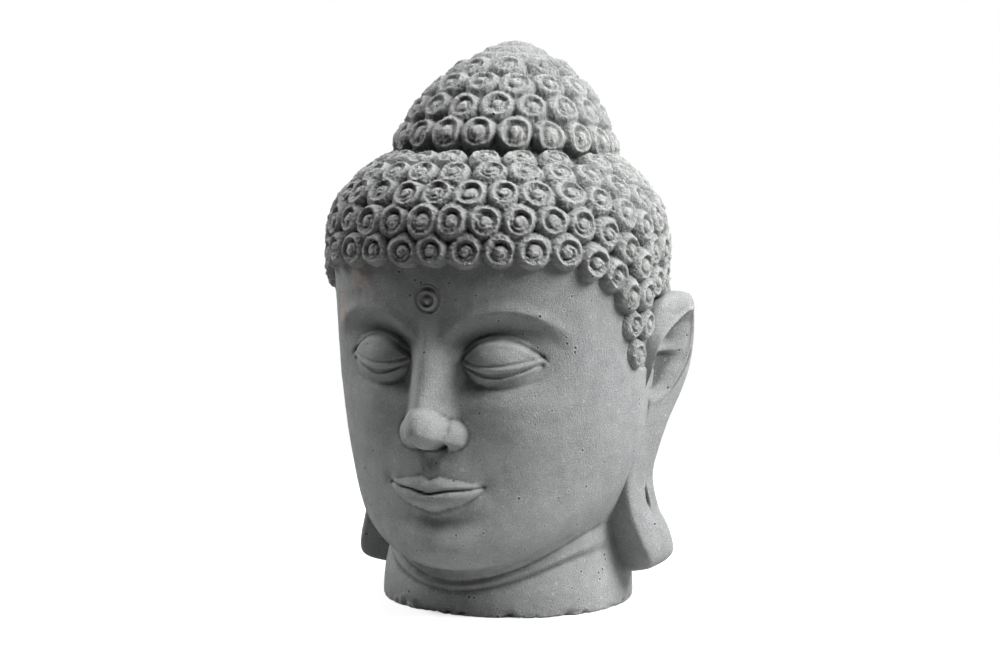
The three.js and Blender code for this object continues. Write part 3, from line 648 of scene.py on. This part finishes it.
def ear_points(place, turn, side):
    """Ear: level slices between their front and back edges. Each is a superellipse whose power
    runs from 4.8 in the ear to 7 in the lobe, and they shrink to a point at both ends. The
    outer face is carved, the lobe's underside slants up outwards and backwards, and the top
    rises backwards. Also gives how far the carving goes deeper than its rims, which sets the
    painted shade in the ear's bowl."""
    last = len(EAR_SLICES) - 1.0
    level, front_x, front_y, back_x, back_y, thick = np.moveaxis(along(EAR_SLICES, place), -1, 0)
    end = held(1.0 - np.abs(2 * place / last - 1.0) ** 8) ** (1.0 / 3.0)
    half = np.hypot(back_x - front_x, back_y - front_y) / 2
    back = vectors(back_x - front_x, back_y - front_y) / (2 * half[..., None])
    out = vectors(back[..., 1], -back[..., 0])
    middle = vectors(front_x + back_x, front_y + back_y) / 2
    middle = middle - out * thick[..., None] / 2
    c, s = -np.cos(turn), np.sin(turn)
    power = 4.8 + 2.2 * step((6.2 - level) / 2.2)
    round_off = (np.abs(c) ** power + np.abs(s) ** power) ** (-1.0 / power)
    c, s = c * round_off, s * round_off
    relief = ear_relief(c / 2 + 0.5, level) * step((s - 0.4) / 0.3)
    raised = s * thick / 2 * end + relief
    at = middle + back * (c * half * end)[..., None] + out * raised[..., None]
    slant = 0.90 * step((5.0 - level) / 3.0) * (0.3 * (s * end - 1.0) + 0.2 * (c * end - 1.0))
    slant = slant + 0.14 * step(level - 11.0) * (c * end + 0.2)
    hang = step((6.0 - level) / 4.0) if side < 0 else 0.0 * level
    x = side * (at[..., 0] + RIGHT_LOBE_OUT * hang)
    points = vectors(x, at[..., 1], level + slant - RIGHT_LOBE_DROP * hang)
    return points, np.clip(-relief - 0.22, 0.0, 0.4)


# --- meshes


def closed_mesh(name, rings, first, last, carve):
    """Closed surface from a grid of rings and a point at each end. The edge rings are marked
    sharp, so that the hidden ends don't tilt the shading of what is seen."""
    rows, columns = rings.shape[:2]
    points = np.concatenate([[first], rings.reshape(-1, 3), [last]]) * unit_size()
    index = 1 + np.arange(rows * columns).reshape(rows, columns)
    beside = np.roll(index, -1, axis=1)
    quads = vectors(index[:-1], beside[:-1], beside[1:], index[1:]).reshape(-1)
    end = len(points) - 1
    low = vectors(np.zeros(columns, int), beside[0], index[0]).reshape(-1)
    high = vectors(np.full(columns, end), index[-1], beside[-1]).reshape(-1)
    corners = np.concatenate([low, high, quads])
    totals = np.concatenate([np.full(2 * columns, 3), np.full((rows - 1) * columns, 4)])
    mesh = bpy.data.meshes.new(name)
    mesh.vertices.add(len(points))
    mesh.vertices.foreach_set("co", points.astype(np.float32).reshape(-1))
    mesh.loops.add(len(corners))
    mesh.loops.foreach_set("vertex_index", corners.astype(np.int32))
    mesh.polygons.add(len(totals))
    mesh.polygons.foreach_set("loop_start", (np.cumsum(totals) - totals).astype(np.int32))
    mesh.polygons.foreach_set("loop_total", totals.astype(np.int32))
    mesh.update(calc_edges=True)
    mesh.shade_smooth()
    ends = np.empty(2 * len(mesh.edges), np.int32)
    mesh.edges.foreach_get("vertices", ends)
    ring_of = (ends.reshape(-1, 2) - 1) // columns
    sharp = np.all(ring_of == 0, axis=1) | np.all(ring_of == rows - 1, axis=1)
    mesh.attributes.new("sharp_edge", "BOOLEAN", "EDGE").data.foreach_set("value", sharp)
    # carve: a share from grooves to crests. The stone paints it as shade and dirt low down, and as
    # wear and highlight high up.
    shade = np.concatenate([[0.5], carve.reshape(-1), [0.5]]).astype(np.float32)
    mesh.attributes.new("carve", "FLOAT", "POINT").data.foreach_set("value", shade)
    return mesh


def add_piece(context, name, rings, first, last, carve, dusty):
    """Links a closed surface as a piece of the head that rides the only body and stands for its
    node."""
    piece = bpy.data.objects.new(name, closed_mesh(name, rings, first, last, carve))
    context.scene.collection.objects.link(piece)
    piece.data.materials.append(stone(dusty))
    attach(piece, "root")
    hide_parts("head")


def unit_size():
    """Metres in one unit of the proportions."""
    return bpy.context.scene.stone_head_sizes.height / UNITS_HIGH


def hair_climb():
    """Table of lengths up the bare head, from the first row of curls over the forehead."""
    return Climb(head_points, FIRST_HAIR_RING, LAST_RING, zero_z=HAIR_LEVEL)


# --- shader maths


class Value:
    """A node socket whose arithmetic adds Math nodes."""

    def __init__(self, shader, socket):
        self.shader = shader
        self.socket = socket

    def math(self, operation, first, second):
        settings = {"operation": operation}
        return self.shader.node("ShaderNodeMath", settings, {0: first, 1: second})

    def __add__(self, other):
        return self.math("ADD", self, other)

    __radd__ = __add__

    def __sub__(self, other):
        return self.math("SUBTRACT", self, other)

    def __rsub__(self, other):
        return self.math("SUBTRACT", other, self)

    def __mul__(self, other):
        return self.math("MULTIPLY", self, other)

    __rmul__ = __mul__

    def __truediv__(self, other):
        return self.math("DIVIDE", self, other)

    def between(self, low, high):
        """0 below low, 1 above high, and a smooth step between."""
        settings = {"interpolation_type": "SMOOTHSTEP"}
        inputs = {"Value": self, "From Min": low, "From Max": high}
        return self.shader.node("ShaderNodeMapRange", settings, inputs)


class Shader:
    """The nodes of a material or a world, made with one method."""

    def __init__(self, owner, surface="Principled BSDF", coordinates="Object"):
        owner.use_nodes = True
        self.tree = owner.node_tree
        self.surface = self.tree.nodes[surface]
        self.place = self.node("ShaderNodeTexCoord", {}, {}, coordinates)

    def put(self, socket, value):
        """Links a value to a socket, or sets it there."""
        if isinstance(value, Value):
            self.tree.links.new(value.socket, socket)
        else:
            socket.default_value = value

    def node(self, kind, settings, inputs, output=0):
        """Adds a node, sets its settings first, then its sockets to values or links."""
        made = self.tree.nodes.new(kind)
        for key, value in settings.items():
            setattr(made, key, value)
        for key, value in inputs.items():
            self.put(made.inputs[key], value)
        return Value(self, made.outputs[output])

    def noise(self, scale, detail=3.0, roughness=0.55):
        inputs = {"Vector": self.place, "Scale": scale, "Detail": detail, "Roughness": roughness}
        return self.node("ShaderNodeTexNoise", {}, inputs, "Fac")

    def cells(self, scale):
        """Scattered cells: the distance from a cell's middle, and two random shares of it."""
        inputs = {"Vector": self.place, "Scale": scale, "Randomness": 1.0}
        away = self.node("ShaderNodeTexVoronoi", {"feature": "F1"}, inputs, "Distance")
        cell = self.node("ShaderNodeTexVoronoi", {"feature": "F1"}, inputs, "Color")
        chance, size = (self.node("ShaderNodeSeparateColor", {}, {0: cell}, i) for i in (0, 1))
        return away, chance, size

    def away(self, operation, point=(0.0, 0.0, 0.0)):
        """Distance of a place from a point, or its share along a direction."""
        inputs = {0: self.place, 1: point}
        return self.node("ShaderNodeVectorMath", {"operation": operation}, inputs, "Value")

    def mix(self, share, first, second):
        inputs = {0: share, 6: first, 7: second}
        return self.node("ShaderNodeMix", {"data_type": "RGBA"}, inputs, 2)

    def feed(self, name, value):
        self.put(self.surface.inputs[name], value)


def pin_holes(shader, patches):
    """Pin-holes in a few of the cells, thicker in patches and near the foot, and the wider
    ring round each."""
    away, chance, size = shader.cells(190.0)
    height = shader.node("ShaderNodeSeparateXYZ", {}, {0: shader.place}, "Z")
    pitted = (patches - 0.5) * 0.3 + (1.0 - height.between(0.015, 0.06)) * 0.14
    rare = (chance + pitted).between(0.83, 0.88)
    hole = (1.0 - (away / (0.10 + 0.22 * size)).between(0.5, 1.0)) * rare
    return hole, (1.0 - (away / (0.22 + 0.34 * size)).between(0.5, 1.0)) * rare


def stone_material(name, dusty):
    """Matt grey volcanic stone: sandy grain, pin-holes painted dark as shade with pale rims,
    painted shade and dirt in the grooves, pale wear and a painted highlight on the crests,
    painted glints, a dustier hair and rust-brown stains by the right temple."""
    palette = bpy.context.scene.stone_head_colours
    tint = {key: (*getattr(palette, key), 1.0) for key in palette.__annotations__}
    material = bpy.data.materials.new(name)
    shader = Shader(material)
    carve = shader.node("ShaderNodeAttribute", {"attribute_name": "carve"}, {}, "Fac")
    patches, mottle = shader.noise(11.0, 4.0), shader.noise(70.0, 5.0, 0.6)
    grain, gravel = shader.noise(800.0, 3.0, 0.7), shader.noise(360.0, 4.0, 0.7)
    sand = shader.noise(1300.0, 2.0, 0.6).between(0.60, 0.74)
    # Painted glints: scattered pale specks of light mixed into the colour.
    speck_away, speck_chance, _ = shader.cells(850.0)
    glint = (1.0 - speck_away.between(0.15, 0.45)) * speck_chance.between(0.86, 0.97)
    hole, halo = pin_holes(shader, patches)
    tone = (patches - 0.5) * 0.4 + (mottle - 0.5) * 0.45 + (grain - 0.5) * 0.9
    tone = tone + (gravel - 0.5) * 0.6 * dusty
    base = shader.mix((0.5 + tone).between(0.05, 0.95), tint["dark"], tint["light"])
    # Painted light: a high carve share makes crests pale, with wear and a painted highlight; a low
    # share gives painted shade.
    wear_and_painted_light = (carve - 0.5) * 2.0 + (mottle - 0.5) * 0.8
    base = shader.mix(wear_and_painted_light.between(0.0, 1.0) * (0.7 * dusty), base, tint["dust"])
    # Painted shade with dirt: where the carve share is low, in grooves, hollows and the joints
    # between curls, the colour goes towards the groove colour.
    painted_shade_and_dirt = (0.0 - wear_and_painted_light).between(0.0, 1.0) * (0.8 - 0.3 * dusty)
    base = shader.mix(painted_shade_and_dirt, base, tint["groove"])
    for spot, reach in STAINS:
        near = 1.0 - shader.away("DISTANCE", spot).between(0.2 * reach, reach)
        base = shader.mix(near * mottle.between(0.35, 0.7) * 0.6, base, tint["stain"])
    base = shader.mix(sand * 0.25, base, tint["dust"])
    base = shader.mix(glint * (0.35 + 0.4 * dusty), base, tint["glint"])
    base = shader.mix(halo * 0.35, base, tint["dust"])
    # Pin-holes painted dark as shade in the pits.
    base = shader.mix(hole * 0.85, base, tint["groove"])
    shader.feed("Base Color", base)
    shader.feed("Roughness", 0.86 + 0.12 * grain)
    shader.feed("Specular IOR Level", 0.3)
    relief = grain + gravel * (3.5 * dusty - 0.4) + sand * 0.9 + mottle * 0.35
    relief = relief - hole * 1.6 + halo * 0.2
    bump = {"Strength": 0.8 + 0.2 * dusty, "Distance": 0.0014, "Height": relief}
    shader.feed("Normal", shader.node("ShaderNodeBump", {}, bump))
    return material


def floor_material():
    """Pale matt paper with the faintest unevenness, which fades into the white backdrop."""
    material = bpy.data.materials.new("pale_floor")
    shader = Shader(material)
    share = shader.noise(6.0, 2.0).between(0.2, 0.8)
    shader.feed("Base Color", shader.mix(share, (0.83, 0.83, 0.83, 1.0), (0.87, 0.87, 0.87, 1.0)))
    shader.feed("Alpha", (1.0 - shader.away("LENGTH").between(0.25, 1.1)) * 0.5)
    shader.feed("Roughness", 0.9)
    return material


def stone(dusty):
    """The stone material of a dustiness, made once."""
    name = "stone_dusty" if dusty > 0.5 else "stone_smooth"
    return bpy.data.materials.get(name) or stone_material(name, dusty)


# --- settings


def number(name, description, default, low, high, **kind):
    """Number setting of the head."""
    return bpy.props.FloatProperty(
        name=name, description=description, default=default, min=low, max=high, **kind
    )


class StoneHeadSizes(bpy.types.PropertyGroup):
    """Sizes of the head that a user would change."""

    height: number("Height", "From the underside to the tip", 0.5, 0.3, 1.0, unit="LENGTH")
    weathering: number("Weathering", "Depth of the uneven wear", 0.0004, 0.0, 0.002, unit="LENGTH")
    fineness: number("Fineness", "Share of all rings and columns", 1.0, 0.2, 1.0, subtype="FACTOR")


def colour(name, description, default):
    """Colour setting of the stone."""
    return bpy.props.FloatVectorProperty(
        name=name, description=description, subtype="COLOR", default=default
    )


class StoneHeadColours(bpy.types.PropertyGroup):
    """Colours of the stone."""

    light: colour("Light grain", "Palest grains of the clean stone", (0.225, 0.229, 0.230))
    dark: colour("Dark grain", "Darkest grains of the clean stone", (0.105, 0.108, 0.109))
    # Dust colour, which is also the painted highlight on the crests.
    dust: colour("Dust", "Pale wear and dust on the crests", (0.33, 0.336, 0.315))
    # Groove colour: painted shade, with dirt, in grooves, hollows and pin-holes.
    groove: colour("Groove dirt", "Dirt in the grooves and pin-holes", (0.035, 0.036, 0.036))
    stain: colour("Rust stain", "Rust-brown stains beside the right temple", (0.30, 0.21, 0.15))
    # Colour of the painted glints, specks of light on the stone.
    glint: colour("Light specks", "Pale mineral specks in the light", (0.46, 0.465, 0.45))


# --- operators


def counts(surface):
    """Numbers of rings and columns of a surface at the chosen fineness."""
    rows, columns = GRIDS[surface]
    share = bpy.context.scene.stone_head_sizes.fineness
    return max(12, int(rows * share)), max(24, int(columns * share))


def angles_round(columns, bunched):
    """Angles round the head, closer together in front: pi times (1 - b) u + b u^3."""
    u = np.linspace(-1.0, 1.0, columns, endpoint=False)
    return (math.pi * ((1.0 - bunched) * u + bunched * u**3))[None, :]


def weather(points, out, share=1.0):
    """Wear: two sizes of smooth noise move the points inwards, by the weathering depth."""
    depth = bpy.context.scene.stone_head_sizes.weathering / unit_size() * share
    noise = 0.6 * value_noise(points, 0.9, SEED) + 0.4 * value_noise(points, 0.28, SEED + 1)
    return points + out * (depth * (noise - 1.0))[..., None]


def roughen(points, out, height):
    """Rough tooling of the hair: fine smooth noise moves the points in and out, more in the
    joints between the curls than on their crests."""
    noise = 0.5 * value_noise(points, 0.19, SEED + 3) + 0.8 * value_noise(points, 0.085, SEED + 4)
    share = 1.3 - 0.6 * held(height / 0.4)
    return points + out * (TOOLING * noise * share)[..., None]


def grid_normals(points):
    """Outward directions of a grid of rings, from its differences both ways."""
    across = np.roll(points, -1, axis=1) - np.roll(points, 1, axis=1)
    return unit(np.cross(across, np.gradient(points, axis=0)))


def cavity(points, out, reach, gain):
    """Share from 0 in grooves to 1 on crests: half, plus the gain times how far a point stands
    out of the mean of its four neighbours at a reach of cells."""
    rows = np.arange(points.shape[0])
    below, above = np.maximum(rows - reach, 0), np.minimum(rows + reach, rows[-1])
    total = points[below] + points[above]
    total = total + np.roll(points, reach, axis=1) + np.roll(points, -reach, axis=1)
    return held(0.5 + gain * np.sum((points - total / 4) * out, axis=-1))


def ragged_edge(points, z):
    """How far chips and crumbs are broken out of the lower edge, from two sizes of noise."""
    chips = held(value_noise(points, 0.5, SEED + 2) * 1.4 - 0.35)
    crumbs = held(value_noise(points, 0.16, SEED + 6) * 1.5 - 0.2)
    return 0.20 * chips * step((0.5 - z) / 0.42) + 0.16 * crumbs * step((0.26 - z) / 0.2)


class STONE_OT_face(bpy.types.Operator):
    """Carve the face, the neck and the flat underside"""

    bl_idname = "stone.face"
    bl_label = "Face and neck"

    def execute(self, context):
        rows, columns = counts("face_and_neck")
        place = np.interp(np.linspace(0, 1, rows), FACE_SHARES, FACE_PLACES)[:, None]
        angle, place = np.broadcast_arrays(angles_round(columns, 0.5), place)
        points = head_points(angle, place)
        x, z = points[..., 0].copy(), points[..., 2].copy()
        points[..., 1] -= np.where(np.cos(angle) > 0, face_relief(x, z), 0.0)
        out = unit(points * (1, 1, 0) - (0, MIDDLE_Y, 0))
        points = points + out * neck_folds(angle, place)[..., None]
        covered = place - hair_climb().place(angle, row_length(angle, 0.05))
        sink = UNDER_HAIR * step(covered / 0.5) * (place > FIRST_HAIR_RING + 0.5)
        points = weather(points - out * sink[..., None], out)
        points = points - out * ragged_edge(points, z)[..., None]
        points[0, :, 2] = 0.0
        carve = cavity(points, grid_normals(points), 3, 6.0)
        add_piece(context, "face_and_neck", points, (0, 0, 0), (0, -1, 15), carve, SMOOTH)
        return {"FINISHED"}


class STONE_OT_urna(bpy.types.Operator):
    """Carve the small ringed mark between the brows"""

    bl_idname = "stone.urna"
    bl_label = "Urna"

    def execute(self, context):
        rows, columns = counts("urna")
        radius = np.linspace(URNA_RADIUS, 0.01, rows)[:, None]
        turn = np.linspace(0, 2 * math.pi, columns, endpoint=False)[None, :]
        points = urna_points(radius, turn)
        points = weather(points, np.broadcast_to((0.0, -1.0, 0.0), points.shape))
        top = points[-1].mean(axis=0)
        carve = cavity(points, grid_normals(points), 2, 8.0)
        add_piece(context, "urna", points, top + (0, 1.5, 0), top, carve, SMOOTH)
        return {"FINISHED"}


class STONE_OT_hair(bpy.types.Operator):
    """Carve the snail-shell curls over the skull, in three bands"""

    bl_idname = "stone.hair"
    bl_label = "Curled hair"

    def execute(self, context):
        climb = hair_climb()
        curls = make_curls(head_points, climb, hair_spots(climb), SEED)
        rows, columns = counts("hair")
        angle = angles_round(columns, 0.3)
        edge, top = row_length(angle, -1.05), climb.end(angle) - 0.35
        for name, (start, stop, low_z, high_z) in HAIR_BANDS.items():
            share = np.linspace(start, stop, rows)[:, None]
            turned, length = np.broadcast_arrays(angle, edge + (top - edge) * share)
            points, _, _, out = on_surface(head_points, climb, turned, length)
            height = curl_field(points, curls)
            above_edge = length - row_length(turned, -0.2)
            near_edge = step(-above_edge / 0.4) * step((0.3 - height) / 0.3)
            ground = -HAIR_SINK * np.maximum(near_edge, step((0.08 - height) / 0.08))
            carved = points + out * (height + ground)[..., None]
            carved = roughen(weather(carved, out, 1.3), out, height)
            # Carve share: paler with curl height and on crests, darker in joints; painted
            # highlight and painted shade.
            carve = 0.45 * held(height / CREST) + 0.55 * cavity(carved, out, 4, 4.0)
            add_piece(context, name, carved, (0, -1, low_z), (0, -1, high_z), carve, DUSTY)
        return {"FINISHED"}


class STONE_OT_topknot(bpy.types.Operator):
    """Carve the domed topknot with its rings of curls and its plain cap"""

    bl_idname = "stone.topknot"
    bl_label = "Topknot"

    def execute(self, context):
        climb = Climb(topknot_points, 0.0, len(TOPKNOT) - 1.0)
        curls = make_curls(topknot_points, climb, topknot_spots(), SEED + 5)
        rows, columns = counts("topknot")
        length = np.linspace(0.3, float(climb.end(0.0)) - 0.02, rows)[:, None]
        turned, length = np.broadcast_arrays(angles_round(columns, 0.25), length)
        points, _, _, out = on_surface(topknot_points, climb, turned, length)
        swirl = 0.03 * np.sin(2 * math.pi * (length / 0.62 + turned / (2 * math.pi)))
        swirl = swirl * step((length - 5.4) / 0.5) * step((climb.end(0.0) - length) / 0.8)
        height = curl_field(points, curls) + swirl
        capped = step((length - CAP_LENGTH) / 0.5)
        carved = weather(points + out * height[..., None], out, 1.3)
        carved = roughen(carved, out, height + 0.4 * capped)
        tip = topknot_place(np.array([0, 0, TOPKNOT_TIP]))
        foot = topknot_place(np.array([0, 0, 17.2]))
        wear_and_painted_light = held(height / CREST + 0.6 * capped)
        carve = 0.45 * wear_and_painted_light + 0.55 * cavity(carved, out, 4, 4.0)
        add_piece(context, "topknot", carved, foot, tip, carve, DUSTY)
        return {"FINISHED"}


class STONE_OT_ears(bpy.types.Operator):
    """Carve the two long ears"""

    bl_idname = "stone.ears"
    bl_label = "Ears"

    def execute(self, context):
        rows, columns = counts("ear")
        last = len(EAR_SLICES) - 1.0
        place = (last * (0.5 - 0.5 * np.cos(np.linspace(0.03, math.pi - 0.03, rows))))[:, None]
        corners = np.radians((-45, 45, 135, 225, 315))
        turn = np.interp(np.arange(columns) / columns, EAR_SHARES, corners)[None, :]
        place, turn = np.broadcast_arrays(place, turn)
        for name, side in (("ear_left", 1.0), ("ear_right", -1.0)):
            points, deep = ear_points(place, turn, side)
            order = np.s_[::-1, :: int(side)]
            rings, deep = points[order], deep[order]
            rings = weather(rings, grid_normals(rings))
            first, final = rings[0].mean(axis=0), rings[-1].mean(axis=0)
            # The deep bowl of the ear is darkened as painted shade, by how far it sinks under its
            # rims.
            carve = held(cavity(rings, grid_normals(rings), 4, 4.0) - 2.2 * deep)
            add_piece(context, name, rings, first, final, carve, SMOOTH)
        return {"FINISHED"}


class STONE_OT_stage(bpy.types.Operator):
    """Lay the pale floor, and set up the soft lights and the camera"""

    bl_idname = "stone.stage"
    bl_label = "Stage"

    def execute(self, context):
        mesh = bpy.data.meshes.new("pale_floor")
        corners = FLOOR_REACH * np.array([(-1, -1, 0), (1, -1, 0), (1, 1, 0), (-1, 1, 0)])
        mesh.from_pydata(corners.tolist(), [], [(0, 1, 2, 3)])
        floor = bpy.data.objects.new("pale_floor", mesh)
        context.scene.collection.objects.link(floor)
        floor.data.materials.append(floor_material())
        for light in LIGHTS:
            self.light(context, *light)
        self.studio(context)
        camera = bpy.data.cameras.new("camera")
        camera.lens = CAMERA_LENS
        eye = bpy.data.objects.new("camera", camera)
        turn = math.radians(CAMERA_TURN)
        yaw = turn + math.radians(CAMERA_YAW)
        eye.location = (CAMERA_AWAY * math.sin(turn), -CAMERA_AWAY * math.cos(turn), CAMERA_HEIGHT)
        eye.rotation_euler = (math.radians(90.0 - CAMERA_DOWN), 0.0, yaw)
        context.scene.collection.objects.link(eye)
        context.scene.camera = eye
        return {"FINISHED"}

    def studio(self, context):
        """White backdrop, whose light is strong behind the head and weak before its face: the
        strength is a smooth step of how far a direction points that way."""
        world = bpy.data.worlds.new("studio")
        shader = Shader(world, "Background", "Generated")
        inputs = {"Value": shader.away("DOT_PRODUCT", GLOW_DIRECTION), **WORLD_GLOW}
        glow = shader.node("ShaderNodeMapRange", {"interpolation_type": "SMOOTHSTEP"}, inputs)
        seen = shader.node("ShaderNodeLightPath", {}, {}, "Is Camera Ray")
        mixed = {"Factor": seen, "A": glow, "B": 1.0}
        shader.feed("Color", (1.0, 1.0, 1.0, 1.0))
        shader.feed("Strength", shader.node("ShaderNodeMix", {}, mixed, "Result"))
        context.scene.world = world
        context.scene.view_settings.view_transform = "Standard"

    def light(self, context, name, turn, lift, away, width, watts):
        """Area light at an angle round from the front and up, aimed at the head's middle."""
        lamp = bpy.data.lights.new(name, "AREA")
        lamp.shape = "DISK"
        lamp.size = width
        lamp.energy = watts
        holder = bpy.data.objects.new(name, lamp)
        a, b = math.radians(turn), math.radians(lift)
        flat = away * math.cos(b)
        height = LIGHTS_AIM + away * math.sin(b)
        holder.location = (flat * math.sin(a), -flat * math.cos(a), height)
        holder.rotation_euler = (math.radians(90.0 - lift), 0.0, a)
        context.scene.collection.objects.link(holder)


class STONE_PT_panel(bpy.types.Panel):
    """Sidebar panel with the head's settings and pieces"""

    bl_label = "Stone Head"
    bl_idname = "STONE_PT_panel"
    bl_space_type = "VIEW_3D"
    bl_region_type = "UI"
    bl_category = "Stone Head"

    def draw(self, context):
        for group in (context.scene.stone_head_sizes, context.scene.stone_head_colours):
            for name in group.__annotations__:
                self.layout.prop(group, name)
        for operator in OPERATORS:
            self.layout.operator(operator.bl_idname)


OPERATORS = (
    STONE_OT_face,
    STONE_OT_urna,
    STONE_OT_hair,
    STONE_OT_topknot,
    STONE_OT_ears,
    STONE_OT_stage,
)
CLASSES = (StoneHeadSizes, StoneHeadColours, *OPERATORS, STONE_PT_panel)


def register():
    for cls in CLASSES:
        bpy.utils.register_class(cls)
    bpy.types.Scene.stone_head_sizes = bpy.props.PointerProperty(type=StoneHeadSizes)
    bpy.types.Scene.stone_head_colours = bpy.props.PointerProperty(type=StoneHeadColours)


def unregister():
    del bpy.types.Scene.stone_head_colours
    del bpy.types.Scene.stone_head_sizes
    for cls in reversed(CLASSES):
        bpy.utils.unregister_class(cls)


def main():
    register()
    bpy.ops.stone.face()
    bpy.ops.stone.urna()
    bpy.ops.stone.hair()
    bpy.ops.stone.topknot()
    bpy.ops.stone.ears()
    bpy.ops.stone.stage()


if __name__ == "__main__":
    main()
